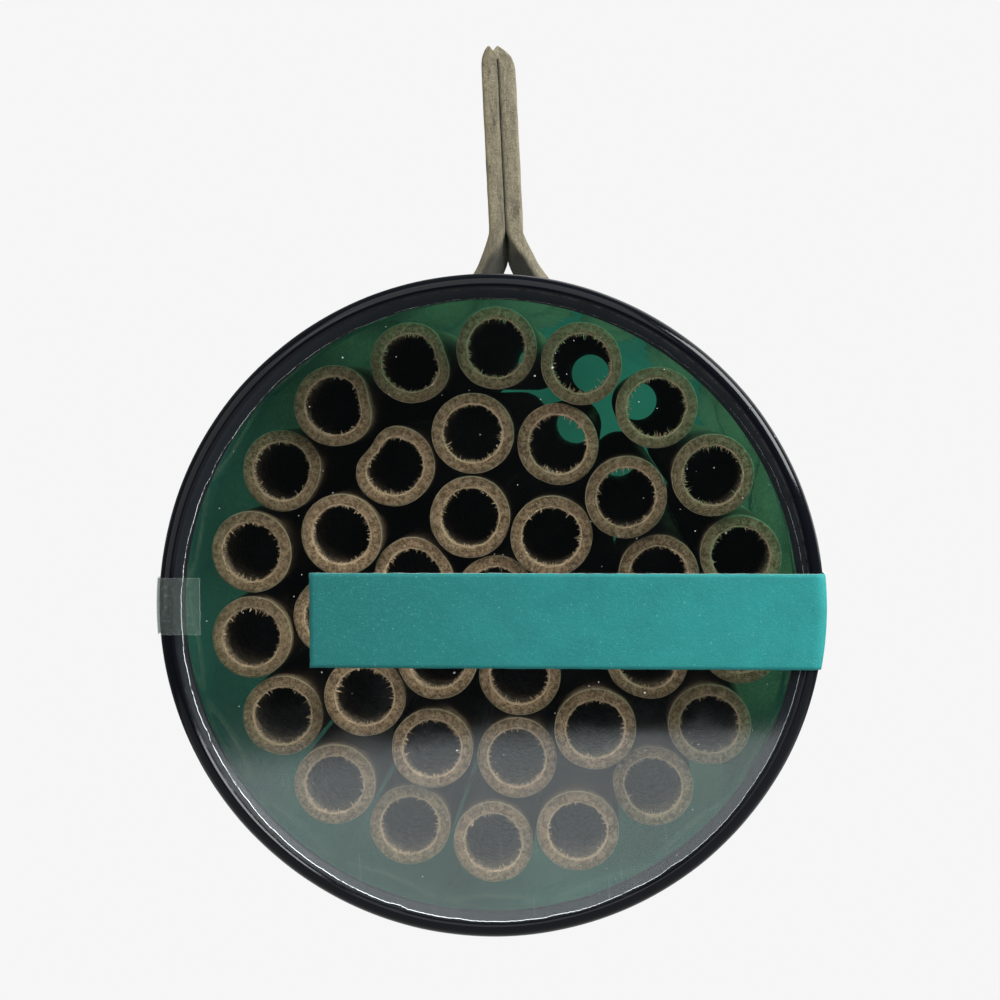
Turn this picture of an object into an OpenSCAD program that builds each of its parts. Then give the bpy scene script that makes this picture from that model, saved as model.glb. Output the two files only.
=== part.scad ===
// Bottle insect hotel: the lower body of a glass bottle lies on its side and holds 37 paper nest tubes.
// The origin is where the nail holds the hanging lace; the mouth faces -Y and +Z is up.

/* [Nest tubes] */
// Bore of one nest tube, the hole that a bee uses
tube_bore = 8; // [6:0.5:10]
// Paper wall of one nest tube
tube_wall = 1.5; // [1:0.1:2]
// Length of one nest tube
tube_l = 150; // [100:5:180]
// Free space between one tube and the next
tube_gap = 0.12; // [0.1:0.02:0.4]
// How far the tube ends lie behind the bottle's cut edge, on average
tube_recess = 12.5; // [8:0.5:30]
// How far one tube end stands before or behind the average
tube_scatter = 1.2; // [0:0.1:2]

/* [Bottle] */
// Glass wall
glass_wall = 1.9; // [1.5:0.1:4]
// Thickness of the glass base
base_t = 3.5; // [3:0.5:8]
// How far the base is domed inwards
punt_h = 3; // [1:0.5:8]
// Width of the flat ring that the bottle stands on
foot_w = 5; // [3:0.5:8]
// Outer radius where the wall turns into the base
heel_r = 5; // [4:0.5:8]
// Free space between the tubes and the glass base
back_gap = 0.4; // [0.3:0.1:10]

/* [Rim trim] */
// Thickness of the trim's two lips
lip_t = 0.6; // [0.5:0.05:1.5]
// How far the trim's outer lip reaches back over the glass
lip_depth = 8; // [5:0.5:12]
// How far its inner lip reaches past the cut edge
inner_lip = 0.5; // [0.3:0.1:3]
// Thickness of the trim in front of the cut edge
web_t = 2; // [1.5:0.1:3]
// Free space between the tube bundle and the trim's inner lip
mouth_gap = 0.3; // [0.2:0.05:1]
// Angle of the trim's butt joint, anticlockwise from +X
joint_angle = 35; // [0:5:355]
// Gap at the butt joint
joint_gap = 0.3; // [0.2:0.05:1]

/* [Transport cover] */
// Thickness of the clear disc
cover_t = 0.25; // [0.2:0.05:1]
// How far the disc reaches past the mouth, on average
cover_lap = 0.5; // [0.3:0.1:0.8]
// Height of the paper band
band_h = 12; // [8:0.5:20]
// Where the paper band starts, from the bottle's axis
band_start = -22.5; // [-30:0.5:0]
// Height of the band's middle at the bottle's axis
band_z = -1.4; // [-5:0.1:5]
// Height of the clear tape
tape_h = 7.2; // [5:0.1:12]
// How far the clear tape reaches in over the mouth
tape_reach = 5.8; // [4:0.1:10]
// Height of the tape's middle above the bottle's axis
tape_z = 0.3; // [-5:0.1:5]
// Slope of the band and the tape, anticlockwise
label_tilt = -2.6; // [-5:0.1:5]
// How far the band and the tape reach back along the trim
wrap_back = 9; // [5:0.5:12]

/* [Hanging lace] */
// Thickness of the lace
lace_t = 2.8; // [1.5:0.1:4]
// Width of the lace, along the bottle
lace_w = 4.5; // [3:0.5:8]
// Height of the nail above the bottle's axis
nail_rise = 84.5; // [70:0.5:140]
// Height above the axis at which the two strands part
fork_rise = 55; // [50:1:64]
// Distance from the cut edge to the lace, at the balance point
balance_y = 93; // [30:1:110]

/* [Hidden] */
// Roundness of circles, and of the small arcs in the bottle's outline
$fn = 96;
ARC_STEPS = 6;
// Running clearances: trim on glass, lace on glass and strand to strand, layers of the cover
trim_fit = 0.05;
lace_fit = 0.1;
strand_gap = 0.2;
join_lap = 0.1;
layer_gap = 0.05;
paper_t = 0.2;
tape_t = 0.15;
// The disc is taped on a little off centre
cover_shift = [0.3, -0.4];

// Rings of tubes round the centre one: name, count, radius in pitches and turn of the first tube.
// The radii are the smallest at which no two tubes of these turns meet.
RINGS = [
    ["centre", 1, 0, 0],
    ["inner", 6, 1, 104.4],
    ["middle", 12, 1.975, 94.9],
    ["outer", 18, 2.9714, 86.9]
];
tube_od = tube_bore + 2 * tube_wall;
pitch = tube_od + tube_gap;
bundle_r = RINGS[3][2] * pitch + tube_od / 2;

// The trim, from the mouth outwards, and the glass inside it
mouth_r = bundle_r + mouth_gap;
glass_ri = mouth_r + lip_t + trim_fit;
glass_ro = glass_ri + glass_wall;
trim_ro = glass_ro + trim_fit + lip_t;
// The trim's front face, its outer rounding and the slope down to the mouth
trim_front = -web_t;
nose_r = 1;
slope_w = 1.3;

// The bottle: the inside ends behind the last tube, and the base is domed
floor_y = tube_recess + tube_scatter + tube_l + back_gap + punt_h;
bottle_l = floor_y + base_t;
punt_r = glass_ro - heel_r - foot_w;

// The cover's layers, from the disc forwards
cover_r = mouth_r + cover_lap;
cover_edge = cover_r + norm(cover_shift);
cover_back = trim_front + max(0, mouth_r + slope_w - cover_edge) - layer_gap;
cover_front = min(cover_back - cover_t, trim_front);
wrap_ri = trim_ro + layer_gap;

// The lace: a ring round the glass, two bends and two strands
ring_ri = glass_ro + lace_fit;
ring_mid = ring_ri + lace_t / 2;
strand_x = (strand_gap + lace_t) / 2;
// The bend's radius lets it touch both the ring and the strand without a corner
bend_r = (pow(fork_rise, 2) + pow(strand_x, 2) - pow(ring_mid, 2)) / (2 * (ring_mid - strand_x));
bend_x = strand_x + bend_r;
bend_turn = atan2(fork_rise, bend_x);

function tube_place(ring, i) =
    let (turn = ring[3] + i * 360 / ring[1])
    [ring[2] * pitch * cos(turn), ring[2] * pitch * sin(turn)];
function tube_name(ring, i) =
    ring[1] == 1 ? str("nest_tube_", ring[0])
    : str("nest_tube_", ring[0], "_", ring[1] > 9 && i < 9 ? "0" : "", i + 1);
function tube_push(ring, i) = tube_scatter * sin(137 * i + 61 * ring[1]);
TUBES = [for (ring = RINGS) for (i = [0 : ring[1] - 1])
    [tube_name(ring, i), tube_place(ring, i), tube_push(ring, i)]];

// Points of a round corner, from one angle to another
function arc(centre, r, from, to, steps = ARC_STEPS) =
    [for (i = [0 : steps]) let (a = from + (to - from) * i / steps)
        [centre[0] + r * cos(a), centre[1] + r * sin(a)]];

// Points of a shallow dome, from its rim in to its top on the axis
function dome(r, edge_y, h, steps = 8) =
    let (sphere_r = (r * r + h * h) / (2 * h), middle_y = edge_y - h + sphere_r)
    [for (i = [0 : steps]) let (x = r * (1 - i / steps))
        [x, middle_y - sqrt(sphere_r * sphere_r - x * x)]];

function reversed(points) = [for (i = [len(points) - 1 : -1 : 0]) points[i]];

// Carries an outline's axis to the bottle's: first number outwards, second back from the cut edge
module around_bottle() {
    in_place()
        rotate([-90, 0, 0])
            children();
}

module in_place() {
    translate([0, -balance_y, -nail_rise])
        children();
}

// A plate across the mouth, standing on edge, with its front face at y
module upright_disc(r, y, t) {
    translate([0, y + t, 0])
        rotate([90, 0, 0])
            cylinder(r = r, h = t);
}

module bottle_body() {
    inner_heel = max(1, heel_r - glass_wall);
    color([0.12, 0.42, 0.32, 0.6])
        around_bottle()
            rotate_extrude()
                polygon(concat(
                    [[glass_ri, 0], [glass_ro, 0]],
                    arc([glass_ro - heel_r, bottle_l - heel_r], heel_r, 0, 90),
                    dome(punt_r, bottle_l, punt_h),
                    reversed(dome(punt_r, floor_y, punt_h)),
                    arc([glass_ri - inner_heel, floor_y - inner_heel], inner_heel, 90, 0)
                ));
}

// A strip of soft channel bent round the cut edge, its ends butted together
module rim_trim() {
    color([0.03, 0.03, 0.035])
        around_bottle()
            difference() {
                rotate_extrude()
                    polygon(concat(
                        arc([trim_ro - nose_r, trim_front + nose_r], nose_r, -90, 0),
                        [
                            [trim_ro, lip_depth],
                            [trim_ro - lip_t, lip_depth],
                            [trim_ro - lip_t, -trim_fit],
                            [mouth_r + lip_t, -trim_fit],
                            [mouth_r + lip_t, inner_lip],
                            [mouth_r, inner_lip],
                            [mouth_r, trim_front + slope_w],
                            [mouth_r + slope_w, trim_front]
                        ]
                    ));
                rotate([0, 0, -joint_angle])
                    translate([mouth_r - 1, -joint_gap / 2, trim_front - 1])
                        cube([trim_ro - mouth_r + 2, joint_gap, lip_depth + web_t + 2]);
            }
}

module clear_cover() {
    color([0.9, 0.95, 0.95, 0.3])
        in_place()
            translate([cover_shift[0], 0, cover_shift[1]])
                upright_disc(cover_r, cover_back - cover_t, cover_t);
}

// A layer of thickness t over the front and down the side of the trim
module wrap_shell(t) {
    face = cover_front - layer_gap;
    difference() {
        upright_disc(wrap_ri + t, face - t, wrap_back - face + t);
        upright_disc(wrap_ri, face, wrap_back - face + 1);
    }
}

module paper_band() {
    reach = wrap_ri + paper_t + 1;
    color([0.2, 0.62, 0.58])
        in_place()
            intersection() {
                wrap_shell(paper_t);
                rotate([0, -label_tilt, 0])
                    translate([band_start, cover_front - 2, band_z - band_h / 2])
                        cube([reach - band_start, wrap_back - cover_front + 4, band_h]);
            }
}

module clear_tape() {
    reach = wrap_ri + tape_t + 1;
    start = trim_ro - tape_reach;
    color([0.85, 0.88, 0.85, 0.4])
        in_place()
            intersection() {
                wrap_shell(tape_t);
                rotate([0, -label_tilt, 0])
                    translate([-reach, cover_front - 2, tape_z - tape_h / 2])
                        cube([reach - start, wrap_back - cover_front + 4, tape_h]);
            }
}

// Flat outline of one side of the lace, in the plane across the bottle
module lace_side() {
    difference() {
        circle(r = ring_ri + lace_t);
        circle(r = ring_ri);
        // The ring runs on into the bends by a hair's breadth, so that they are one piece
        polygon([[0, 0], [bend_x - join_lap, fork_rise] * 2, [join_lap - bend_x, fork_rise] * 2]);
    }
    for (side = [-1, 1]) {
        intersection() {
            translate([side * bend_x, fork_rise])
                difference() {
                    circle(r = bend_r + lace_t / 2);
                    circle(r = bend_r - lace_t / 2);
                }
            polygon([[0, fork_rise], [side * bend_x, fork_rise], [0, 0]]);
        }
        translate([side * strand_x - lace_t / 2, fork_rise - join_lap])
            square([lace_t, nail_rise - fork_rise + 2 * join_lap]);
    }
    translate([0, nail_rise])
        difference() {
            circle(r = strand_gap / 2 + lace_t);
            circle(r = strand_gap / 2);
            translate([-2 * lace_t, -4 * lace_t])
                square([4 * lace_t, 4 * lace_t]);
        }
}

module hanging_lace() {
    color([0.58, 0.54, 0.45])
        translate([0, lace_w / 2, -nail_rise])
            rotate([90, 0, 0])
                linear_extrude(height = lace_w)
                    lace_side();
}

module nest_tube(place, push) {
    color([0.45, 0.37, 0.28])
        in_place()
            translate([place[0], tube_recess + push, place[1]])
                rotate([-90, 0, 0])
                    difference() {
                        cylinder(d = tube_od, h = tube_l);
                        translate([0, 0, -1])
                            cylinder(d = tube_bore, h = tube_l + 2);
                    }
}

bottle_body();
rim_trim();
clear_cover();
paper_band();
clear_tape();
hanging_lace();
for (tube = TUBES)
    nest_tube(tube[1], tube[2]);
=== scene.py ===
"""Looks for a bottle insect hotel: paper tubes in green glass, with trim, cover, band, tape and lace."""

import math
import random

import bmesh
import bpy
from mathutils import Matrix, Vector, noise


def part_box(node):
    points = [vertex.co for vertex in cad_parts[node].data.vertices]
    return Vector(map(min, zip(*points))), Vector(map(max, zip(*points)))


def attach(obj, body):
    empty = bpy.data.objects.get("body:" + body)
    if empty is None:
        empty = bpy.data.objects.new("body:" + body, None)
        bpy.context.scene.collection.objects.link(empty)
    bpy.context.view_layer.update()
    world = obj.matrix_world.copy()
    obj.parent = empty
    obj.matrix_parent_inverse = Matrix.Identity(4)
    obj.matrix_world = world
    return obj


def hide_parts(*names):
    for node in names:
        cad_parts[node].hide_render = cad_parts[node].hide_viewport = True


bl_info = {
    "name": "Bottle Insect Hotel",
    "version": (1, 0, 0),
    "blender": (4, 5, 0),
    "location": "View3D > Sidebar > Insect Hotel",
    "description": "Builds the looks of a bottle insect hotel round its packed frame",
    "category": "Object",
}

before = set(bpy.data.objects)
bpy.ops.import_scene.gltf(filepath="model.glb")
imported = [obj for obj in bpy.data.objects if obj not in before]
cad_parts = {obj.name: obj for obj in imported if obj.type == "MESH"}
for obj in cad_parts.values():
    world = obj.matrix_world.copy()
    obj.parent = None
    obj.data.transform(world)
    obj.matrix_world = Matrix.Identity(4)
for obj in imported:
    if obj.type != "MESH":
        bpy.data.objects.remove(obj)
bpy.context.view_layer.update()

MM = 0.001
TUBE_NODES = sorted(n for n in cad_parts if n.startswith("nest_tube_"))


def corners(node):
    """A node's lowest and highest corners as vectors."""
    low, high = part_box(node)
    return Vector(low), Vector(high)


TRIM_LOW, TRIM_HIGH = corners("rim_trim")
GLASS_LOW, GLASS_HIGH = corners("bottle_body")
COVER_LOW, COVER_HIGH = corners("clear_cover")
BAND_LOW, BAND_HIGH = corners("paper_band")
TAPE_LOW, TAPE_HIGH = corners("clear_tape")
LACE_LOW, LACE_HIGH = corners("hanging_lace")
AXIS = Vector(((TRIM_LOW.x + TRIM_HIGH.x) / 2, 0.0, (TRIM_LOW.z + TRIM_HIGH.z) / 2))
TRIM_R = (TRIM_HIGH.x - TRIM_LOW.x) / 2
GLASS_R = (GLASS_HIGH.x - GLASS_LOW.x) / 2
TUBE_R = (corners(TUBE_NODES[0])[1].x - corners(TUBE_NODES[0])[0].x) / 2


# Settings

def number(name, description, default, unit="LENGTH"):
    """A setting with one value, in metres, or in radians for a rotation."""
    return bpy.props.FloatProperty(name=name, description=description, default=default, unit=unit)


def vector(name, description, default, subtype="COLOR"):
    """A setting with three values: a colour, or a place in metres."""
    return bpy.props.FloatVectorProperty(
        name=name, description=description, default=default, subtype=subtype, size=3)


class TubeSettings(bpy.types.PropertyGroup):
    """Sizes and colours of the paper nest tubes"""
    bore: number("Bore", "Radius of the hole", 4 * MM)
    fuzz: number("Fuzz", "Longest torn fibre at the bore's edge", 0.85 * MM)
    edge_round: number("Edge", "Rounding of the cut end's outer edge", 0.18 * MM)
    paper: vector("Paper", "Colour of the cut kraft paper", (0.365, 0.232, 0.130))
    fibre: vector("Fibre", "Colour of the torn fibres", (0.62, 0.48, 0.32))


class BottleSettings(bpy.types.PropertyGroup):
    """Sizes and colours of the glass body and its trim"""
    wall: number("Wall", "Thickness of the glass wall", 1.9 * MM)
    base: number("Base", "Thickness of the glass base", 3.5 * MM)
    punt: number("Punt", "Height of the dome in the base", 3 * MM)
    heel: number("Heel", "Outer radius between wall and base", 5 * MM)
    foot: number("Foot", "Width of the ring that the bottle stands on", 5 * MM)
    glass: vector("Glass", "Light that one face of the wall lets through", (0.33, 0.67, 0.57))
    thick_glass: vector("Thick glass", "Light that one face of the base lets through", (0.26, 0.76, 0.60))
    lip: number("Lip", "Thickness of the trim's lips", 0.6 * MM)
    inner_lip: number("Inner lip", "Reach of the trim's inner lip past the cut edge", 0.5 * MM)
    slope: number("Slope", "Width of the trim's slope down to the mouth", 1.3 * MM)
    joint_angle: number("Joint", "Where the trim's ends meet", math.radians(35), "ROTATION")
    joint_gap: number("Joint gap", "Gap between the trim's ends", 0.04 * MM)


class CoverSettings(bpy.types.PropertyGroup):
    """Sizes and colours of the disc, the band and the tape over the mouth"""
    edge: number("Cut edge", "Width of the disc's crazed white edge", 0.46 * MM)
    band_height: number("Band height", "Height of the paper band", 12 * MM)
    band_start: number("Band start", "Where the band starts, from the axis", -22.5 * MM)
    band_rise: number("Band rise", "Height of the band's middle at the axis", -1.4 * MM)
    tape_height: number("Tape height", "Height of the tape", 7.2 * MM)
    tape_reach: number("Tape reach", "How far the tape comes in from the rim", 5.8 * MM)
    tape_rise: number("Tape rise", "Height of the tape's middle", 0.3 * MM)
    band_thick: number("Band thickness", "Thickness of the paper band", 0.15 * MM)
    tape_thick: number("Tape thickness", "Thickness of the tape", 0.08 * MM)
    band_lift: number("Band lift", "How far the band's waves stand off the disc", 0.10 * MM)
    tape_lift: number("Tape lift", "How far the tape's waves stand off the disc", 0.06 * MM)
    tilt: number("Tilt", "Slope of the band and the tape", math.radians(-2.6), "ROTATION")
    paper: vector("Paper", "Colour of the band", (0.0075, 0.122, 0.118))
    core: vector("Paper core", "Colour of the band's cut edge", (0.62, 0.72, 0.68))


class LaceSettings(bpy.types.PropertyGroup):
    """Sizes and colours of the hanging lace"""
    thickness: number("Thickness", "Thickness of the lace", 2.8 * MM)
    width: number("Width", "Width of the lace", 4.5 * MM)
    fork: number("Fork", "Height above the axis where the strands part", 55 * MM)
    gap: number("Gap", "Space between the strands", 0.2 * MM)
    twist: number("Twist", "How far each strand turns where they part", math.radians(46), "ROTATION")
    edge_round: number("Edge", "Rounding of the lace's edges", 0.55 * MM)
    suede: vector("Suede", "Colour of the suede", (0.272, 0.242, 0.166))
    # At 0.4 of itself this dark also paints the shade on the strands' inner faces.
    dark: vector("Dark suede", "Colour of its flecks and hollows", (0.055, 0.048, 0.035))


class StageSettings(bpy.types.PropertyGroup):
    """Camera, floor and light"""
    eye: vector(
        "Eye", "Camera from the middle of the rim's front", (16 * MM, -235 * MM, 26.7 * MM), "TRANSLATION")
    aim: vector(
        "Aim", "Middle of the picture, from the middle of the rim's front",
        (2.2 * MM, 0.0, 13.7 * MM), "TRANSLATION")
    width: number("Width", "Width of the picture at the rim", 124.9 * MM)
    roll: number("Roll", "How far the camera leans to its right", math.radians(2.6), "ROTATION")
    floor_drop: number("Floor drop", "Height of the axis above the floor", 95 * MM)
    floor_radius: number("Floor radius", "Radius of the floor", 0.285)
    floor_front: number("Floor front", "Reach of the floor in front of the rim", 0.43)
    backdrop: number("Backdrop", "Brightness of the pale backdrop", 0.922, "NONE")


# Materials

class Field:
    """A value that varies over a surface: arithmetic on it adds Math nodes."""

    def __init__(self, finish, socket):
        self.finish, self.socket = finish, socket

    def _math(self, operation, first, second=None):
        inputs = {0: first} if second is None else {0: first, 1: second}
        return self.finish.add("ShaderNodeMath", {"operation": operation}, inputs)

    def __add__(self, other):
        return self._math("ADD", self, other)

    def __sub__(self, other):
        return self._math("SUBTRACT", self, other)

    def __rsub__(self, other):
        return self._math("SUBTRACT", other, self)

    def __mul__(self, other):
        return self._math("MULTIPLY", self, other)

    def __pow__(self, other):
        return self._math("POWER", self, other)

    def __gt__(self, other):
        return self._math("GREATER_THAN", self, other)

    def most(self, other):
        return self._math("MAXIMUM", self, other)

    def sine(self):
        return self._math("SINE", self)

    __radd__ = __add__
    __rmul__ = __mul__


class Finish:
    """The nodes of one material, or of the world."""

    def __init__(self, name, owner=None):
        self.owner = owner or bpy.data.materials.new(name)
        self.owner.use_nodes = True
        self.tree = self.owner.node_tree
        self.tree.nodes.clear()

    def add(self, kind, settings=None, inputs=None, output=0):
        """Makes a node: its settings first, then the values or links of its sockets."""
        made = self.tree.nodes.new(kind)
        for key, value in (settings or {}).items():
            if key == "stops":
                elements = made.color_ramp.elements
                elements.remove(elements[1])
                elements[0].position, elements[0].color = value[0][0], (*value[0][1], 1.0)
                for place, colour in value[1:]:
                    elements.new(place).color = (*colour, 1.0)
            else:
                setattr(made, key, value)
        for key, value in (inputs or {}).items():
            if isinstance(value, Field):
                self.tree.links.new(value.socket, made.inputs[key])
            else:
                made.inputs[key].default_value = value
        return Field(self, made.outputs[output]) if made.outputs else made

    def place(self, middle=(0, 0, 0), stretch=(1, 1, 1)):
        """Object coordinates in millimetres from a middle point."""
        scale = [s / MM for s in stretch]
        shift = [-m * s for m, s in zip(middle, scale)]
        coords = self.add("ShaderNodeTexCoord", output="Object")
        return self.add("ShaderNodeMapping", {}, {"Vector": coords, "Scale": scale, "Location": shift})

    def noise(self, where, per_mm, detail=3.0, rough=0.55, warp=0.0):
        return self.add("ShaderNodeTexNoise", {}, {
            "Vector": where, "Scale": per_mm, "Detail": detail, "Roughness": rough, "Distortion": warp})

    def dots(self, where, per_mm, radius, share):
        """1 inside scattered dots of up to that radius in mm, in that share of the cells."""
        near = self.add("ShaderNodeTexVoronoi", {}, {"Vector": where, "Scale": per_mm}, output="Distance")
        cell = self.add("ShaderNodeTexVoronoi", {}, {"Vector": where, "Scale": per_mm}, output="Color")
        kept = self.add("ShaderNodeSeparateXYZ", {}, {0: cell}, output=0)
        return (1 - (near > radius * per_mm)) * (1 - (kept > share))

    def ramp(self, value, stops):
        return self.add("ShaderNodeValToRGB", {"stops": stops}, {"Fac": value})

    def grey(self, value, low, high):
        """Spreads the stretch from low to high over 0 to 1."""
        return self.add("ShaderNodeMapRange", {}, {
            "Value": value, "From Min": low, "From Max": high})

    def mix(self, share, first, second):
        """Mixes two colours; its sockets go by number, as their names repeat for each kind of value."""
        colours = [c if isinstance(c, Field) else (*c, 1.0) for c in (first, second)]
        return self.add(
            "ShaderNodeMix", {"data_type": "RGBA"}, {0: share, 6: colours[0], 7: colours[1]}, output=2)

    def attribute(self, name):
        return self.add("ShaderNodeAttribute", {"attribute_name": name}, output="Fac")

    def bump(self, height, distance, strength=1.0):
        return self.add("ShaderNodeBump", {}, {
            "Height": height, "Distance": distance, "Strength": strength})

    def facing(self):
        """0 where the surface faces the eye, 1 where it is seen edge on."""
        return self.add("ShaderNodeLayerWeight", {}, {"Blend": 0.5}, output="Facing")

    def principled(self, **sockets):
        names = {k.replace("_", " ").title().replace("Ior", "IOR"): v for k, v in sockets.items()}
        names = {k: (*v, 1.0) if isinstance(v, tuple) and len(v) == 3 and "Colo" in k else v
                 for k, v in names.items()}
        return self.add("ShaderNodeBsdfPrincipled", {}, names)

    def clear(self, colour):
        return self.add("ShaderNodeBsdfTransparent", {}, {"Color": (*colour, 1.0)})

    def blend(self, share, first, second):
        return self.add("ShaderNodeMixShader", {}, {0: share, 1: first, 2: second})

    def done(self, shader):
        self.add("ShaderNodeOutputMaterial", {}, {"Surface": shader})
        return self.owner


def scaled(colour, *shares):
    """A colour times one share, or times one for each channel."""
    return tuple(c * k for c, k in zip(colour, shares * 3))


def kraft_finish(tubes):
    """Wound brown paper: cut layers on the end, with fibres and blotches; painted shade near black inside the
    bore and on the outer side, and a tone per tube that is partly painted shade.
    """
    f = Finish("kraft_paper")
    where = f.place()
    wall, depth, shade = f.attribute("wall"), f.attribute("depth"), f.attribute("shade")
    fine = f.noise(where, 1.7, 6.0, 0.9)
    blotch = f.noise(where, 0.7, 3.0, 0.6)
    patch = f.noise(where, 0.9, 4.0, 0.8)
    layers = (wall * 46 + blotch * 9 + patch * 3).sine()
    paper, fibre = tuple(tubes.paper), tuple(tubes.fibre)
    rings = f.ramp(wall + (patch - 0.5) * 0.16, [
        (0.02, fibre), (0.16, scaled(paper, 1.3)), (0.45, paper),
        (0.80, scaled(paper, 0.80)), (0.95, scaled(paper, 0.60))])
    olive = scaled(paper, 0.62, 0.70, 0.66)
    colour = f.mix(f.grey(blotch, 0.42, 0.66) * 0.5, rings, olive)
    colour = f.mix(f.grey(layers, -0.2, 1.0) * 0.26, colour, scaled(paper, 0.42))
    colour = f.mix(f.grey(fine, 0.50, 0.58) * 0.50, colour, scaled(fibre, 0.95))
    colour = f.mix(f.grey(fine, 0.505, 0.44) * 0.80, colour, scaled(paper, 0.22))
    colour = f.mix(f.grey(patch, 0.50, 0.38) * 0.35, colour, scaled(paper, 0.45))
    edge = f.grey(wall, 0.91, 0.96) * (1 - f.grey(depth, 0.15, 0.5))
    colour = f.mix(edge * 0.62, colour, scaled(fibre, 0.78, 0.90, 0.88))
    # Partly painted shade: each tube darkens by its random tone, and the outer ring more, towards a greenish
    # dark paper.
    colour = f.mix(f.grey(shade, 0.0, 1.0) * 0.40, colour, scaled(paper, 0.30, 0.40, 0.36))
    # Painted shade: the tube's outer side darkens with depth, as the shade between the tubes.
    side = f.grey(wall, 0.9, 0.99) * f.grey(depth, 0.4, 3.0) * (1 - f.grey(depth, 12.0, 30.0) * 0.8)
    colour = f.mix(side * 0.80, colour, scaled(paper, 0.18))
    # Painted shade: the bore's wall goes near black from 0.1 mm to 2 mm inside the mouth.
    inside = (1 - f.grey(wall, -0.02, 0.02)) * f.grey(depth, 0.1, 2.0)
    colour = f.mix(inside * 0.95, colour, (0.010, 0.009, 0.009))
    height = fine * 1.4 + layers * 0.25 + patch * 0.8
    return f.done(f.principled(
        base_color=colour, roughness=0.92, specular_ior_level=0.2,
        normal=f.bump(height, 0.16 * MM, 1.0)))


def fibre_finish(tubes):
    """Torn fibres at the bore's edge."""
    f = Finish("torn_fibre")
    where = f.place()
    tuft = f.noise(where, 5.0, 3.0, 0.7)
    shade = f.attribute("shade")
    dark = scaled(tubes.paper, 0.9)
    colour = f.mix(f.grey(tuft, 0.30, 0.62), dark, tuple(tubes.fibre))
    # The fibres darken with their tube's tone, which is partly painted shade.
    colour = f.mix(f.grey(shade, 0.0, 1.0) * 0.45, colour, scaled(tubes.paper, 0.5))
    return f.done(f.principled(
        base_color=colour, roughness=1.0, specular_ior_level=0.1, normal=f.bump(tuft, 0.1 * MM, 0.8)))


def glass_finish(name, tint, ripple):
    """Bottle glass: tints what is behind it and mirrors what it is seen edge on to."""
    f = Finish(name)
    where = f.place(AXIS, (1, 0.35, 1))
    waves = f.noise(where, 0.09, 2.0)
    seeds = f.noise(where, 1.8, 2.0)
    mirror = 0.045 + 0.8 * f.facing() ** 4.0
    gloss = f.principled(
        base_color=(0.80, 0.95, 0.90), metallic=1.0, roughness=0.03 + 0.05 * f.grey(seeds, 0.55, 0.8),
        normal=f.bump(waves, ripple * 0.6, 0.6))
    return f.done(f.blend(mirror, f.clear(tint), gloss))


def trim_finish(glass):
    """Soft black vinyl: glossy round its nose, satin on the slope and inside, with a little dust."""
    f = Finish("black_vinyl")
    where = f.place(AXIS)
    out = f.add("ShaderNodeVectorMath", {"operation": "MULTIPLY"}, {0: where, 1: (1, 0, 1)})
    reach = f.add("ShaderNodeVectorMath", {"operation": "LENGTH"}, {0: out}, output="Value")
    slope_top = (TRIM_R - 2.0 * MM) / MM
    satin = 1 - f.grey(reach, slope_top - 0.15, slope_top + 0.1)
    grain = f.noise(where, 2.2, 4.0)
    dust = f.noise(where, 3.4, 2.0, 0.8)
    speck = f.dots(where, 0.3, 0.12, 0.08)
    colour = f.mix(satin * 0.8, (0.002, 0.0025, 0.004), (0.012, 0.014, 0.018))
    colour = f.mix(speck * 0.5, colour, (0.30, 0.31, 0.33))
    rough = 0.09 + satin * 0.30 + f.grey(grain, 0.4, 0.7) * 0.06 + speck * 0.3
    return f.done(f.principled(
        base_color=colour, roughness=rough, specular_ior_level=0.13,
        normal=f.bump(grain + dust * 0.4, 0.03 * MM, 0.15)))


def film_finish():
    """Clear film: nearly invisible, with a mirror sheen, hairline scratches and dust."""
    f = Finish("clear_film")
    where = f.place(AXIS)
    smear = f.noise(where, 0.10, 3.0)
    streaks = f.noise(f.place(AXIS, (2.6, 1, 0.12)), 1.0, 2.0)
    speck = f.dots(where, 0.42, 0.13, 0.07).most(f.dots(where, 0.9, 0.07, 0.12))
    mirror = (0.066 + 0.5 * f.facing() ** 5.0 + f.grey(smear, 0.45, 0.75) * 0.02
              + f.grey(streaks, 0.66, 0.72) * 0.03)
    gloss = f.principled(
        base_color=(0.90, 0.97, 1.0), metallic=1.0, roughness=0.05 + f.grey(smear, 0.4, 0.8) * 0.08,
        normal=f.bump(f.noise(where, 0.05, 1.0), 0.2 * MM, 0.12))
    dust = f.principled(base_color=(0.75, 0.77, 0.75), roughness=1.0)
    sheet = f.blend(mirror, f.clear((0.985, 0.995, 0.99)), gloss)
    return f.done(f.blend(speck * 0.5, sheet, dust))


def cut_film_finish():
    """The film's crazed white cut edge."""
    f = Finish("cut_film_edge")
    where = f.place(AXIS)
    torn = f.noise(where, 1.9, 4.0, 0.75)
    dash = f.noise(where, 0.35, 2.0)
    height = f.add("ShaderNodeSeparateXYZ", {}, {0: where}, output=2)
    low = f.grey(height, 30.0, -36.0)
    white = f.principled(base_color=(0.93, 0.98, 0.97), roughness=0.6)
    share = f.grey(torn + dash * 0.6 + low * 0.14, 0.75, 0.84)
    return f.done(f.blend(0.12 + 0.88 * share, f.clear((0.95, 1.0, 0.98)), white))


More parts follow.
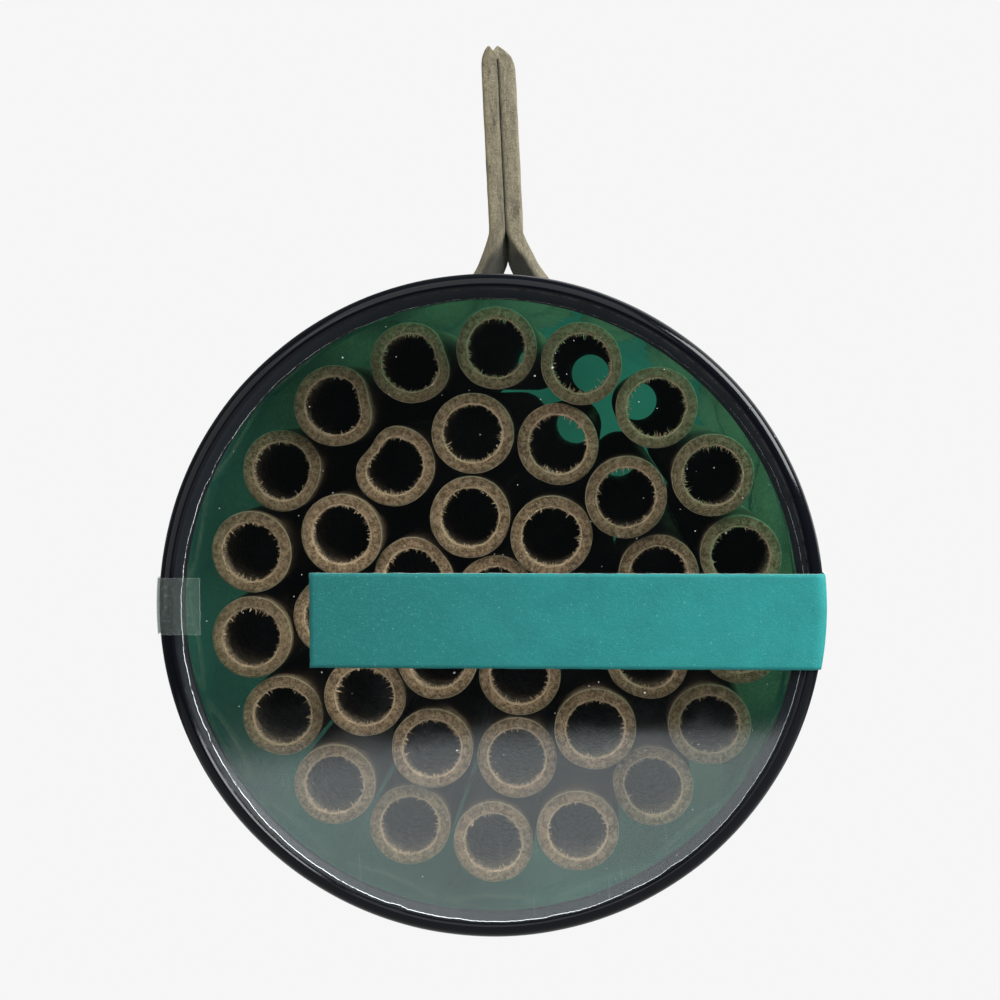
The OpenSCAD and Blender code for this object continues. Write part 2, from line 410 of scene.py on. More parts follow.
def band_finish(cover):
    """Printed paper: a teal with painted light that brightens it from left to right, the paper's tooth and
    fine pale specks.
    """
    f = Finish("teal_paper")
    where = f.place(AXIS)
    tooth = f.noise(where, 5.5, 5.0, 0.78)
    fibres = f.noise(f.place(AXIS, (0.5, 1, 1)), 2.6, 4.0, 0.7, 1.2)
    cloud = f.noise(where, 0.22, 3.0)
    speck = f.grey(f.noise(where, 3.2, 2.0, 0.8), 0.67, 0.72)
    teal = tuple(cover.paper)
    # Painted light: the band's colour brightens from left to right.
    across = f.add("ShaderNodeSeparateXYZ", {}, {0: where}, output=0)
    colour = f.mix(f.grey(across, -22.0, 40.0), scaled(teal, 0.86), scaled(teal, 1.62))
    colour = f.mix(f.grey(cloud, 0.35, 0.65) * 0.25, colour, scaled(teal, 0.72))
    colour = f.mix(f.grey(fibres, 0.52, 0.70) * 0.20, colour, tuple(c * 1.9 + 0.02 for c in teal))
    colour = f.mix(f.grey(tooth, 0.50, 0.36) * 0.32, colour, scaled(teal, 0.62))
    colour = f.mix(f.grey(tooth, 0.54, 0.72) * 0.30, colour, tuple(c * 1.9 + 0.03 for c in teal))
    colour = f.mix(speck * 0.35, colour, (0.26, 0.50, 0.48))
    return f.done(f.principled(
        base_color=colour, roughness=0.66, specular_ior_level=0.2,
        normal=f.bump(tooth + fibres + cloud * 3.0, 0.06 * MM, 0.7)))


def core_finish(cover):
    """The paper's pale core, at its cut edges."""
    f = Finish("paper_core")
    fray = f.noise(f.place(AXIS), 6.0, 3.0, 0.7)
    colour = f.mix(fray, scaled(cover.core, 0.8), tuple(cover.core))
    return f.done(f.principled(base_color=colour, roughness=0.95, normal=f.bump(fray, 0.05 * MM, 0.6)))


def tape_finish():
    """Clear sticky tape with trapped air and a faint sheen."""
    f = Finish("clear_tape")
    where = f.place(AXIS)
    pull = f.noise(f.place(AXIS, (1, 1, 0.2)), 2.4, 3.0)
    air = f.noise(where, 2.1, 3.0, 0.7)
    haze = f.principled(
        base_color=(0.62, 0.72, 0.68), roughness=0.22 + f.grey(air, 0.4, 0.7) * 0.25, specular_ior_level=0.6,
        normal=f.bump(pull, 0.08 * MM, 0.5))
    share = 0.025 + f.grey(air, 0.55, 0.72) * 0.05 + 0.3 * f.facing() ** 4.0
    return f.done(f.blend(share, f.clear((0.96, 0.98, 0.96)), haze))


def tape_edge_finish():
    """The tape's cut edges, where it looks pale."""
    f = Finish("tape_edge")
    pale = f.principled(base_color=(0.66, 0.72, 0.68), roughness=0.5)
    return f.done(f.blend(0.55, f.clear((0.96, 0.98, 0.96)), pale))


def suede_finish(lace):
    """Suede: a short matt nap with dark flecks and a pale cut side; painted light on the outward faces, most
    on the left strand, and painted shade on the strands' inner faces.
    """
    f = Finish("suede")
    where = f.place()
    along = f.place(stretch=(1, 1, 0.3))
    nap = f.noise(where, 2.8, 6.0, 0.85)
    streak = f.noise(along, 0.9, 4.0, 0.75, 0.5)
    fleck = f.noise(along, 0.6, 5.0, 0.8, 0.4)
    suede, dark = tuple(lace.suede), tuple(lace.dark)
    pale_suede_for_nap_and_light = tuple(min(1, c * k) for c, k in zip(suede, (1.35, 1.22, 1.0)))
    colour = f.mix(f.grey(streak, 0.36, 0.62), scaled(suede, 0.55), suede)
    # Painted light: the outward faces are paler, most on the left strand.
    colour = f.mix(f.grey(f.attribute("rub"), 0.1, 0.9) * 0.8, colour, pale_suede_for_nap_and_light)
    colour = f.mix(f.grey(nap, 0.52, 0.62) * 0.5, colour, pale_suede_for_nap_and_light)
    colour = f.mix(f.grey(nap, 0.49, 0.40) * 0.62, colour, scaled(suede, 0.30))
    colour = f.mix(f.grey(fleck, 0.53, 0.62) * 0.55, colour, dark)
    # Painted shade: the strands' inner faces go dark, more where the strands have parted.
    colour = f.mix(f.grey(f.attribute("inner"), 0.25, 0.95) * 0.92, colour, scaled(dark, 0.4))
    return f.done(f.principled(
        base_color=colour, roughness=0.97, specular_ior_level=0.12, sheen_weight=0.12, sheen_roughness=0.5,
        normal=f.bump(nap * 1.4 + streak + fleck * 0.5, 0.45 * MM, 1.0)))


# Mesh helpers

def arc(middle, radius, start, end, steps):
    """Points of a round corner, angles in degrees."""
    turns = [math.radians(start + (end - start) * i / steps) for i in range(steps + 1)]
    return [(middle[0] + radius * math.cos(t), middle[1] + radius * math.sin(t)) for t in turns]


def spin_outline(bm, outline, middle, steps, start=0.0, turn=2 * math.pi):
    """Turns a closed outline of (radius, y) points round a line along Y through middle."""
    verts = [
        bm.verts.new((middle.x + r * math.cos(start), y, middle.z + r * math.sin(start))) for r, y in outline]
    edges = [bm.edges.new(pair) for pair in zip(verts, verts[1:] + verts[:1])]
    full = abs(turn - 2 * math.pi) < 1e-9
    if not full:
        bm.faces.new(verts)
    bmesh.ops.spin(
        bm, geom=verts + edges + bm.faces[:], cent=(middle.x, 0, middle.z), axis=(0, -1, 0), angle=turn,
        steps=steps, use_merge=full, use_duplicate=False)
    bmesh.ops.remove_doubles(bm, verts=bm.verts[:], dist=1e-7)
    bmesh.ops.recalc_face_normals(bm, faces=bm.faces[:])


def finish_piece(name, bm, materials, body, nodes, sharp=40):
    """Makes the object, smooth but for its sharp edges, and says what it rides on and stands for."""
    mesh = bpy.data.meshes.new(name)
    bm.to_mesh(mesh)
    bm.free()
    for material in materials:
        mesh.materials.append(material)
    mesh.shade_smooth()
    mesh.set_sharp_from_angle(angle=math.radians(sharp))
    piece = bpy.data.objects.new(name, mesh)
    bpy.context.scene.collection.objects.link(piece)
    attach(piece, body)
    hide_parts(*nodes)
    return piece


# Pieces

class HOTEL_OT_bottle(bpy.types.Operator):
    """Glass body: wall, rounded heel and domed base"""
    bl_idname = "hotel.bottle"
    bl_label = "Glass body"

    def execute(self, context):
        s = context.scene.hotel_bottle
        edge_y, base_y, outer, inner = GLASS_LOW.y, GLASS_HIGH.y, GLASS_R, GLASS_R - s.wall
        floor_y, heel_in, punt_r = base_y - s.base, s.heel - s.wall, GLASS_R - s.heel - s.foot

        def dome(edge):
            ball = (punt_r ** 2 + s.punt ** 2) / (2 * s.punt)
            steps = 16
            return [(r, edge - s.punt + ball - math.sqrt(ball ** 2 - r ** 2))
                    for r in (punt_r * (1 - i / steps) for i in range(steps + 1))]

        grind = 0.25 * MM
        outline = [(inner + grind, edge_y), (outer - grind, edge_y), (outer, edge_y + grind)]
        outline += [(outer, edge_y + (base_y - s.heel - edge_y) * k / 12) for k in range(1, 12)]
        outline += arc((outer - s.heel, base_y - s.heel), s.heel, 0, 90, 12)
        outline += dome(base_y)
        outline += dome(floor_y)[::-1]
        outline += arc((inner - heel_in, floor_y - heel_in), heel_in, 90, 0, 10)
        outline += [(inner, edge_y + (floor_y - heel_in - edge_y) * k / 12) for k in range(11, 0, -1)]
        outline += [(inner, edge_y + grind)]
        bm = bmesh.new()
        spin_outline(bm, outline, AXIS, 192)
        for face in bm.faces:
            face.material_index = int(face.calc_center_median().y > floor_y - s.punt - 0.5 * MM)
        glass = [glass_finish("green_glass", tuple(s.glass), 0.5 * MM),
                 glass_finish("thick_green_glass", tuple(s.thick_glass), 0.8 * MM)]
        finish_piece("bottle_glass", bm, glass, "bottle", ["bottle_body"], 50)
        return {"FINISHED"}


class HOTEL_OT_trim(bpy.types.Operator):
    """Black trim: a soft channel over the cut edge, its two ends butted together"""
    bl_idname = "hotel.trim"
    bl_label = "Rim trim"

    def execute(self, context):
        s = context.scene.hotel_bottle
        front, back, mouth = TRIM_LOW.y, TRIM_HIGH.y, GLASS_R - s.wall - s.lip - 0.05 * MM
        nose, bead, tip = 1.6 * MM, 0.45 * MM, 0.28 * MM
        web_y = GLASS_LOW.y - 0.05 * MM
        outline = arc((TRIM_R - nose, front + nose), nose, -90, 0, 10)
        outline += arc((TRIM_R - tip, back - tip), tip, 0, 90, 4)
        lip_end = GLASS_LOW.y + s.inner_lip
        outline += [
            (TRIM_R - s.lip, back), (TRIM_R - s.lip, web_y), (mouth + s.lip, web_y), (mouth + s.lip, lip_end)]
        outline += arc((mouth + tip, lip_end - tip), tip, 90, 180, 4)
        outline += arc((mouth + bead, front + s.slope + bead), bead, 180, 225, 4)
        outline += arc((mouth + s.slope + bead, front + bead), bead, 225, 270, 4)
        half = s.joint_gap / 2 / TRIM_R
        bm = bmesh.new()
        spin_outline(bm, outline, AXIS, 240, s.joint_angle + half, 2 * math.pi - 2 * half)
        for vert in bm.verts:
            turn = math.atan2(vert.co.z - AXIS.z, vert.co.x - AXIS.x)
            out = (vert.co - AXIS).normalized()
            out.y = 0
            soft = noise.noise(Vector((math.cos(turn) * 2.2, math.sin(turn) * 2.2, 3.1)))
            fine = noise.noise(Vector((math.cos(turn) * 9, math.sin(turn) * 9, 8.4)))
            vert.co += out * min(0.0, (soft * 0.16 + fine * 0.05) * MM - 0.04 * MM)
        finish_piece("edge_trim", bm, [trim_finish(s)], "bottle", ["rim_trim"], 50)
        return {"FINISHED"}


class HOTEL_OT_tubes(bpy.types.Operator):
    """Paper nest tubes: wound walls, torn bores, and a few dented mouths"""
    bl_idname = "hotel.tubes"
    bl_label = "Nest tubes"

    # The turn of the dent in degrees and its depth as a share of the radius
    DENTS = {
        "nest_tube_middle_02": (141, 0.24),
        "nest_tube_outer_02": (15, 0.13),
        "nest_tube_outer_03": (8, 0.17),
        "nest_tube_outer_04": (330, 0.08),
        "nest_tube_middle_09": (250, 0.05),
        "nest_tube_inner_2": (40, 0.07),
        "nest_tube_outer_12": (200, 0.06),
    }

    # How deep the waves and a dent reach into the tube, and how far a dent goes round it in radians
    WAVE_DEPTH, DENT_DEPTH, DENT_TURN = 14 * MM, 9 * MM, 0.55

    def outline(self, s, front, back):
        """A tube's section as (radius, y), with more points near the mouth, where it is deformed."""
        inner, outer, edge = s.bore, TUBE_R, s.edge_round
        far = [(inner, back), (inner, (front + back) / 2), (inner, front + 12 * MM), (inner, front + 5 * MM)]
        near = [(inner, front + 2 * MM), (inner, front + 0.8 * MM), (inner, front + 0.25 * MM)]
        face = [(inner + 0.12 * MM, front + 0.03 * MM)]
        face += [(inner + (outer - inner) * k / 5, front) for k in range(1, 5)]
        corner = arc((outer - edge, front + edge), edge, -90, 0, 3)
        side = [(outer, front + 1 * MM), (outer, front + 5 * MM), (outer, front + 20 * MM)]
        side += [(outer, front + (back - front) * k / 4) for k in range(1, 4)]
        end = [(outer, back - edge), (outer - edge, back), (inner + edge, back)]
        return far + near + face + corner + side + end

    def deform(self, vert, middle, front, seed, dent, bore):
        """Out of round, dented and wavy at the mouth, and never wider than the real tube."""
        flat = Vector((vert.co.x - middle.x, 0, vert.co.z - middle.z))
        radius, depth = flat.length, vert.co.y - front
        turn = math.atan2(flat.z, flat.x)
        ring = Vector((math.cos(turn), math.sin(turn), seed))
        near = math.exp(-depth / self.WAVE_DEPTH)
        squeeze = 0.012 * (1 + math.cos(2 * (turn - seed)))
        squeeze += 0.02 * max(0.0, noise.noise(ring * 1.7)) * near
        if dent:
            away = math.remainder(turn - math.radians(dent[0]), 2 * math.pi)
            squeeze += dent[1] * math.exp(-(away / self.DENT_TURN) ** 2) * math.exp(-depth / self.DENT_DEPTH)
        if radius < bore + 0.2 * MM:
            squeeze -= 0.035 * noise.noise(ring * 5.0) * near
        scale = 1 - squeeze
        vert.co.x, vert.co.z = middle.x + flat.x * scale, middle.z + flat.z * scale
        if depth < 0.3 * MM:
            vert.co.y += (0.10 * noise.noise(ring * 3.0) + 0.05 * noise.noise(ring * 11.0)) * MM

    def fibres(self, bm, s, middle, front, seed, dent, draw):
        """A torn collar at the bore's edge, with single fibres that stand into the hole."""
        steps, rows = 220, (0.14, 0.0, -0.5, -1.0)
        lines = []
        for k in range(steps):
            turn = 2 * math.pi * k / steps
            ring = Vector((math.cos(turn), math.sin(turn), seed + 5))
            tuft = max(0.0, noise.noise(ring * 3.2) + 0.30) + 0.5 * max(0.0, noise.noise(ring * 9.0))
            long = s.fuzz * (0.12 + (0.75 if k % 3 == 0 else 0.10) * (0.35 + tuft) * draw.random() ** 1.3)
            swing = (draw.random() - 0.5) * 0.02
            line = []
            for row in rows:
                radius = s.bore + (row * long if row < 0 else row * 2 * MM)
                depth = 0.06 * MM - min(0.0, row) * draw.uniform(-0.15, 0.5) * MM
                angle = turn + (swing if row < -0.4 else 0)
                vert = bm.verts.new((middle.x + radius * math.cos(angle), front + depth,
                                     middle.z + radius * math.sin(angle)))
                self.deform(vert, middle, front, seed, dent, 0.0)
                line.append(vert)
            lines.append(line)
            if draw.random() < 0.4 * tuft + 0.10:
                reach = s.bore - long - s.fuzz * draw.uniform(0.12, 0.6)
                if k:
                    turned = angle + swing * 4
                    tip = bm.verts.new((middle.x + reach * math.cos(turned), front + depth - 0.1 * MM,
                                        middle.z + reach * math.sin(turned)))
                    self.deform(tip, middle, front, seed, dent, 0.0)
                    bm.faces.new((lines[-2][3], line[3], tip)).material_index = 1
        for here, after in zip(lines, lines[1:] + lines[:1]):
            for a in range(len(rows) - 1):
                bm.faces.new((here[a], after[a], after[a + 1], here[a + 1])).material_index = 1

    def execute(self, context):
        s = context.scene.hotel_tubes
        papers = [kraft_finish(s), fibre_finish(s)]
        for number, node in enumerate(TUBE_NODES):
            low, high = corners(node)
            middle = Vector(((low.x + high.x) / 2, 0, (low.z + high.z) / 2))
            draw = random.Random(400 + number)
            # Each tube's tone: a random part, plus painted shade that darkens the outer ring.
            seed, shade = draw.uniform(0, 50), 0.5 * draw.random() + 0.4 * ("outer" in node)
            dent = self.DENTS.get(node)
            bm = bmesh.new()
            layers = [bm.verts.layers.float.new(name) for name in ("wall", "depth", "shade")]
            spin_outline(bm, self.outline(s, low.y, high.y), middle, 84)
            for vert in bm.verts:
                radius = (vert.co - Vector((middle.x, vert.co.y, middle.z))).length
                vert[layers[0]] = (radius - s.bore) / (TUBE_R - s.bore)
                vert[layers[1]] = (vert.co.y - low.y) / MM
                self.deform(vert, middle, low.y, seed, dent, s.bore)
            self.fibres(bm, s, middle, low.y, seed, dent, draw)
            for vert in bm.verts:
                vert[layers[2]] = shade
            body = node.replace("nest_", "")
            finish_piece("paper_" + body, bm, papers, body, [node], 60)
        return {"FINISHED"}


class HOTEL_OT_cover(bpy.types.Operator):
    """Clear disc: a film with a ragged white cut edge"""
    bl_idname = "hotel.cover"
    bl_label = "Clear disc"

    def execute(self, context):
        s = context.scene.hotel_cover
        middle = (COVER_LOW + COVER_HIGH) / 2
        middle.y = COVER_LOW.y
        radius = (COVER_HIGH.x - COVER_LOW.x) / 2
        draw = random.Random(71)
        bm = bmesh.new()
        stand = Matrix.Translation(middle) @ Matrix.Rotation(math.pi / 2, 4, "X")
        bmesh.ops.create_circle(bm, cap_ends=True, segments=900, radius=radius, matrix=stand)
        for vert in bm.verts:
            out = vert.co - middle
            turn = math.atan2(out.z, out.x)
            ring = Vector((math.cos(turn), math.sin(turn), 1.7))
            bite = 0.06 * draw.random() + 0.22 * max(0.0, noise.noise(ring * 16))
            bite += 0.10 * max(0.0, noise.noise(ring * 3))
            vert.co -= out.normalized() * bite * MM
        edge = bmesh.ops.inset_region(bm, faces=bm.faces[:], thickness=s.edge, use_even_offset=True)["faces"]
        for face in edge:
            face.material_index = 1
        for vert in bm.verts:
            if not vert.is_boundary:
                vert.co += (middle - vert.co).normalized() * draw.uniform(-0.20, 0.24) * MM
        bmesh.ops.solidify(bm, geom=bm.faces[:], thickness=COVER_HIGH.y - COVER_LOW.y)
        front = min(vert.co.y for vert in bm.verts)
        bmesh.ops.translate(bm, verts=bm.verts[:], vec=(0, COVER_LOW.y - front, 0))
        bmesh.ops.recalc_face_normals(bm, faces=bm.faces[:])
        for face in bm.faces:
            if abs(face.normal.y) < 0.5:
                face.material_index = 1
        finish_piece("clear_disc", bm, [film_finish(), cut_film_finish()], "cover", ["clear_cover"],
                     30)
        return {"FINISHED"}


def wrapped_strip(
        name, side, start, height, rise, tilt, face_y, back_y, wrap_r, thick, materials, node, lift):
    """A strip over the disc that turns over the trim's edge and runs back. side is 1 right, -1 left."""
    nose = 1.1 * MM  # rounding of its turn over the edge
    bend = nose * math.pi / 2
    flat = wrap_r - nose - start
    back = back_y - face_y - nose
    length = flat + bend + back
    columns, rows = 120, 24
    bm = bmesh.new()
    bmesh.ops.create_grid(bm, x_segments=columns, y_segments=rows, size=0.5)
    slant = Vector((math.cos(tilt), 0, math.sin(tilt)))
    upward = Vector((-math.sin(tilt), 0, math.cos(tilt)))
    draw = random.Random(len(name))
    frays = [draw.uniform(-0.05, 0.05) * MM for _ in range(4 * columns)]
    for vert in bm.verts:
        along, share = (vert.co.x + 0.5) * length, vert.co.y
        v = rise + share * height
        rim = math.sqrt(wrap_r ** 2 - v ** 2) - wrap_r
        run = flat + rim * min(1.0, along / flat)
        if abs(share) > 0.49:
            v += frays[int((vert.co.x + 0.5) * columns)] * 0.6
        if along < 1e-6:
            along += frays[int((share + 0.5) * rows)] * 0.8
        if along <= flat:
            u, y = start + along * run / flat, face_y
            y -= lift * max(0.0, noise.noise(Vector((u / (9 * MM), v / (8 * MM), 2.0))))
        elif along <= flat + bend:
            turn = (along - flat) / nose
            u = start + run + nose * math.sin(turn)
            y = face_y + nose * (1 - math.cos(turn))
        else:
            u, y = start + run + nose, face_y + nose + (along - flat - bend)
        spot = slant * (u * side) + upward * v
        vert.co = Vector((AXIS.x + spot.x, y, AXIS.z + spot.z))
    bmesh.ops.recalc_face_normals(bm, faces=bm.faces[:])
    front = min(bm.faces, key=lambda face: (
        face.calc_center_median().y * 1e3 + abs(face.calc_center_median().x)))
    if front.normal.y > 0:
        bmesh.ops.reverse_faces(bm, faces=bm.faces[:])
    piece = finish_piece(name, bm, materials, "cover", [node], 60)
    shell = piece.modifiers.new("paper thickness", "SOLIDIFY")
    shell.thickness, shell.offset = thick, -1.0
    shell.material_offset_rim = 1


class HOTEL_OT_band(bpy.types.Operator):
    """Paper band over the disc and round the right of the rim, left plain"""
    bl_idname = "hotel.band"
    bl_label = "Paper band"

    def execute(self, context):
        s = context.scene.hotel_cover
        wrapped_strip(
            "paper_strip", 1, s.band_start, s.band_height, s.band_rise, s.tilt, BAND_LOW.y, BAND_HIGH.y,
            BAND_HIGH.x - AXIS.x, s.band_thick, [band_finish(s), core_finish(s)], "paper_band",
            s.band_lift)
        return {"FINISHED"}


class HOTEL_OT_tape(bpy.types.Operator):
    """Clear tape over the disc and round the left of the rim"""
    bl_idname = "hotel.tape"
    bl_label = "Clear tape"

    def execute(self, context):
        s = context.scene.hotel_cover
        wrap_r = AXIS.x - TAPE_LOW.x
        wrapped_strip(
            "tape_strip", -1, wrap_r - s.tape_reach, s.tape_height, s.tape_rise, s.tilt, TAPE_LOW.y,
            TAPE_HIGH.y, wrap_r, s.tape_thick, [tape_finish(), tape_edge_finish()], "clear_tape",
            s.tape_lift)
        return {"FINISHED"}


class HOTEL_OT_lace(bpy.types.Operator):
    """Hanging lace: one suede lace round the bottle and up to the nail"""
    bl_idname = "hotel.lace"
    bl_label = "Hanging lace"

    def route(self, s):
        """Half of the lace's middle line, as (x, z) from the axis, from the ring's bottom to the fold."""
        ring = GLASS_R + 0.1 * MM + s.thickness / 2
        strand = (s.gap + s.thickness) / 2
        bend = (s.fork ** 2 + strand ** 2 - ring ** 2) / (2 * (ring - strand))
        bend_x = strand + bend
        meet = math.degrees(math.atan2(s.fork, bend_x))
        top = LACE_HIGH.z - AXIS.z - s.thickness - s.gap / 2
        line = arc((0, 0), ring, -90 + 0.2, meet, 150)
        line += arc((bend_x, s.fork), bend, 180 + meet, 180, 24)[1:]
        rise = top - s.fork
        line += [(strand, s.fork + rise * k / 30) for k in range(1, 31)]
        line += arc((0, top), strand, 0, 90, 8)[1:]
        return line

    def section(self, corner, across, around):
        """The lace's outline with round corners, as (outward, along Y) from its middle."""
        points = []
        for sx, sy, start in ((1, 1, 0), (-1, 1, 90), (-1, -1, 180), (1, -1, 270)):
            points += arc((sx * (across - corner), sy * (around - corner)), corner, start, start + 90, 3)
            points += {
                0: [(0.0, around)],
                90: [(-across, sign * around * 0.4) for sign in (1, 0, -1)],
                180: [(0.0, -around)],
                270: [(across, sign * around * 0.4) for sign in (-1, 0, 1)],
            }[start]
        return points

    def execute(self, context):
        s = context.scene.hotel_lace
        right = self.route(s)
        line = right + [(-x, z) for x, z in right[-2::-1]]
        y = (LACE_LOW.y + LACE_HIGH.y) / 2
        path = [Vector((AXIS.x + x, y, AXIS.z + z)) for x, z in line]
        across, around, fade = s.thickness / 2, s.width / 2, 5 * MM
        section = self.section(s.edge_round, across, around)
        bm = bmesh.new()
        rub, inner = (bm.verts.layers.float.new(name) for name in ("rub", "inner"))
        fork_z = AXIS.z + s.fork
        rings = []
        for k, point in enumerate(path):
            ahead = (path[min(k + 1, len(path) - 1)] - path[max(k - 1, 0)]).normalized()
            side = 1 if k < len(path) / 2 else -1
            out = Vector((ahead.z, 0, -ahead.x))
            parted = max(0.0, min(1.0, (fork_z - point.z) / fade))
            clear = max(0.0, min(1.0, (point.z - AXIS.z - GLASS_R) / fade))
            twist = -s.twist * parted * clear
            ring = []
            for a, b in section:
                lump = noise.noise(Vector((a, b, k * 0.5 * MM)) / (1.3 * MM)) * 0.10 * MM
                a, b = a * (1 + lump / MM * 0.5), b + lump
                if a < 0 and parted == 0:
                    a -= 0.45 * s.gap
                offset = out * (a * math.cos(twist) + b * math.sin(twist))
                offset += Vector((0, 1, 0)) * (b * math.cos(twist) - a * math.sin(twist))
                vert = bm.verts.new(point + offset)
                # Painted light on the outward faces, strongest on the left strand.
                vert[rub] = max(0.0, a / across) ** 2 * (0.9 if side < 0 else 0.3)
                # Painted shade on the inner faces, stronger where the strands part.
                vert[inner] = max(0.0, -a / across) * (0.35 + 0.65 * parted)
                ring.append(vert)
            rings.append(ring)
        count = len(section)
        for here, after in zip(rings, rings[1:]):
            for k in range(count):
                bm.faces.new((here[k], here[(k + 1) % count], after[(k + 1) % count], after[k]))
        bm.faces.new(rings[0])
        bm.faces.new(rings[-1][::-1])
        top = LACE_HIGH.z
        for vert in bm.verts:
            aside = vert.co.x - AXIS.x
            share = max(0.0, (vert.co.z - top) / fade + 1)
            if share:
                dip = math.exp(-((aside + 0.3 * MM) / (0.7 * MM)) ** 2)
                lean = max(0.0, aside) / (3 * MM)
                vert.co.z -= share ** 2 * (1.6 * dip + 0.9 * lean) * MM
                vert.co.x = AXIS.x + aside * (1 - 0.42 * share ** 2) - 0.5 * MM * share ** 2
                vert.co.y += share * 0.5 * MM * math.sin(aside / MM)
        bmesh.ops.remove_doubles(bm, verts=bm.verts[:], dist=1e-6)
        bmesh.ops.recalc_face_normals(bm, faces=bm.faces[:])
        piece = finish_piece(
            "suede_lace", bm, [suede_finish(s)], "bottle", ["hanging_lace"], 70)
        smooth = piece.modifiers.new("nap", "SUBSURF")
        smooth.levels = smooth.render_levels = 1
        return {"FINISHED"}


# Stage

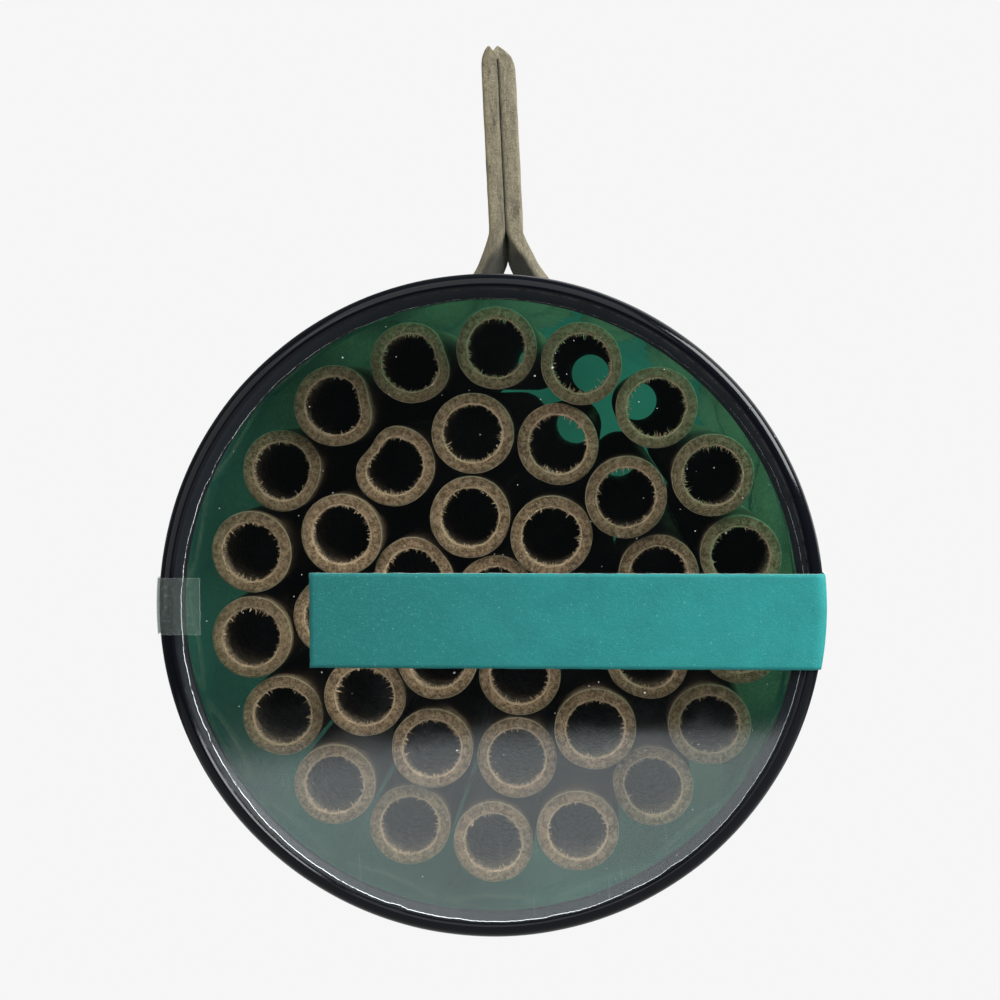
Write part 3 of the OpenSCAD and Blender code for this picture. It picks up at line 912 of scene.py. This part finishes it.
class HOTEL_OT_stage(bpy.types.Operator):
    """Camera, pale floor and soft lights"""
    bl_idname = "hotel.stage"
    bl_label = "Stage"

    # The backdrop stays pale through this many clear faces, and is dim behind more, as behind the glass
    FILM_FACES = 2

    # Each lamp's place from the middle of the rim's front, its size in metres and its power in watts
    LAMPS = {
        "key": ((0.64, -0.21, 0.43), (0.40, 0.50), 16.0),
        "top": ((-0.05, -0.56, 0.72), (1.0, 0.8), 7.0),
        "fill": ((-0.66, -0.56, 0.30), (0.8, 0.8), 4.0),
        "rear": ((0.48, 0.62, 0.42), (1.0, 1.0), 4.5),
    }

    def camera(self, context, s):
        """A camera at the eye, turned to the aim and rolled, with the picture's width at the rim."""
        rim = Vector((AXIS.x, TRIM_LOW.y, AXIS.z))
        eye, aim = rim + Vector(s.eye), rim + Vector(s.aim)
        ahead = (aim - eye).normalized()
        right = Vector((math.cos(s.roll), 0, -math.sin(s.roll)))
        right = (right - ahead * right.dot(ahead)).normalized()
        up = right.cross(ahead)
        data = bpy.data.cameras.new("camera")
        data.sensor_width = 36.0
        data.lens = data.sensor_width * (aim - eye).length / s.width
        data.clip_start, data.clip_end = 0.01, 20.0
        camera = bpy.data.objects.new("camera", data)
        camera.matrix_world = Matrix.Translation(eye) @ Matrix((right, up, -ahead)).transposed().to_4x4()
        context.scene.collection.objects.link(camera)
        context.scene.camera = camera

    def lamp(self, context, name, place, aim, size, power):
        """A soft lamp at a place, turned to an aim and unseen by the camera itself."""
        data = bpy.data.lights.new(name, "AREA")
        data.shape, data.size, data.size_y, data.energy = "RECTANGLE", *size, power
        lamp = bpy.data.objects.new(name, data)
        lamp.location = place
        lamp.rotation_euler = (aim - place).to_track_quat("-Z", "Y").to_euler()
        lamp.visible_camera = False
        context.scene.collection.objects.link(lamp)

    def floor(self, context, s):
        """A round floor as pale as the backdrop, which the clear disc mirrors in its lower half."""
        bm = bmesh.new()
        middle = Vector((AXIS.x, TRIM_LOW.y - s.floor_front + s.floor_radius, AXIS.z - s.floor_drop))
        bmesh.ops.create_circle(
            bm, cap_ends=True, segments=128, radius=s.floor_radius, matrix=Matrix.Translation(middle))
        mesh = bpy.data.meshes.new("floor")
        bm.to_mesh(mesh)
        bm.free()
        f = Finish("floor_paper")
        glow = f.add("ShaderNodeEmission", {}, {"Color": (1, 1, 1, 1), "Strength": s.backdrop})
        mesh.materials.append(f.done(glow))
        floor = bpy.data.objects.new("floor", mesh)
        context.scene.collection.objects.link(floor)

    def world(self, context, s):
        """A pale backdrop, and for mirrors and behind the glass a dim room, darkest in front of the mouth."""
        world = bpy.data.worlds.new("studio")
        f = Finish("studio", world)
        direction = f.add("ShaderNodeTexCoord", output="Generated")
        parts = [f.add("ShaderNodeSeparateXYZ", {}, {0: direction}, output=k) for k in range(3)]
        ahead = f.grey(parts[1] * -1, 0.80, 0.97)
        behind = f.grey(parts[1], 0.0, 0.8)
        cloud = f.noise(direction, 4.5, 2.0)
        room = 0.20 - ahead * 0.180 + behind * (f.grey(cloud, 0.38, 0.62) * 0.26 - 0.10)
        path = f.add("ShaderNodeLightPath", output="Is Camera Ray")
        passed = f.add("ShaderNodeLightPath", output="Transparent Depth")
        direct = path * (1 - (passed > self.FILM_FACES + 0.5))
        seen = f.add("ShaderNodeBackground", {}, {"Color": (1, 1, 1, 1), "Strength": s.backdrop})
        dim = f.add("ShaderNodeBackground", {}, {
            "Color": (0.93, 0.97, 1.0, 1.0), "Strength": room.most(0.02)})
        mixed = f.blend(direct, dim, seen)
        f.add("ShaderNodeOutputWorld", {}, {"Surface": mixed})
        context.scene.world = world

    def execute(self, context):
        s = context.scene.hotel_stage
        self.camera(context, s)
        self.floor(context, s)
        self.world(context, s)
        rim = Vector((AXIS.x, TRIM_LOW.y, AXIS.z))
        for name, (place, size, power) in self.LAMPS.items():
            self.lamp(context, name, rim + Vector(place), rim, size, power)
        context.scene.view_settings.view_transform = "Standard"
        return {"FINISHED"}


class HOTEL_PT_panel(bpy.types.Panel):
    """Lists the pieces and their settings"""
    bl_idname = "HOTEL_PT_panel"
    bl_label = "Insect hotel"
    bl_space_type = "VIEW_3D"
    bl_region_type = "UI"
    bl_category = "Insect Hotel"

    def draw(self, context):
        for operator in OPERATORS:
            self.layout.operator(operator.bl_idname)
        for name, settings in SETTINGS.items():
            box = self.layout.box()
            box.label(text=settings.__doc__)
            for prop in settings.__annotations__:
                box.prop(getattr(context.scene, name), prop)


SETTINGS = {
    "hotel_stage": StageSettings,
    "hotel_bottle": BottleSettings,
    "hotel_tubes": TubeSettings,
    "hotel_cover": CoverSettings,
    "hotel_lace": LaceSettings,
}
OPERATORS = (
    HOTEL_OT_stage, HOTEL_OT_lace, HOTEL_OT_bottle, HOTEL_OT_trim,
    HOTEL_OT_tubes, HOTEL_OT_cover, HOTEL_OT_band, HOTEL_OT_tape,
)


def register():
    for cls in (*SETTINGS.values(), *OPERATORS, HOTEL_PT_panel):
        bpy.utils.register_class(cls)
    for name, settings in SETTINGS.items():
        setattr(bpy.types.Scene, name, bpy.props.PointerProperty(type=settings))


def unregister():
    for name in SETTINGS:
        delattr(bpy.types.Scene, name)
    for cls in reversed((*SETTINGS.values(), *OPERATORS, HOTEL_PT_panel)):
        bpy.utils.unregister_class(cls)


def main():
    register()
    bpy.ops.hotel.stage()
    bpy.ops.hotel.lace()
    bpy.ops.hotel.bottle()
    bpy.ops.hotel.trim()
    bpy.ops.hotel.tubes()
    bpy.ops.hotel.cover()
    bpy.ops.hotel.band()
    bpy.ops.hotel.tape()


if __name__ == "__main__":
    main()
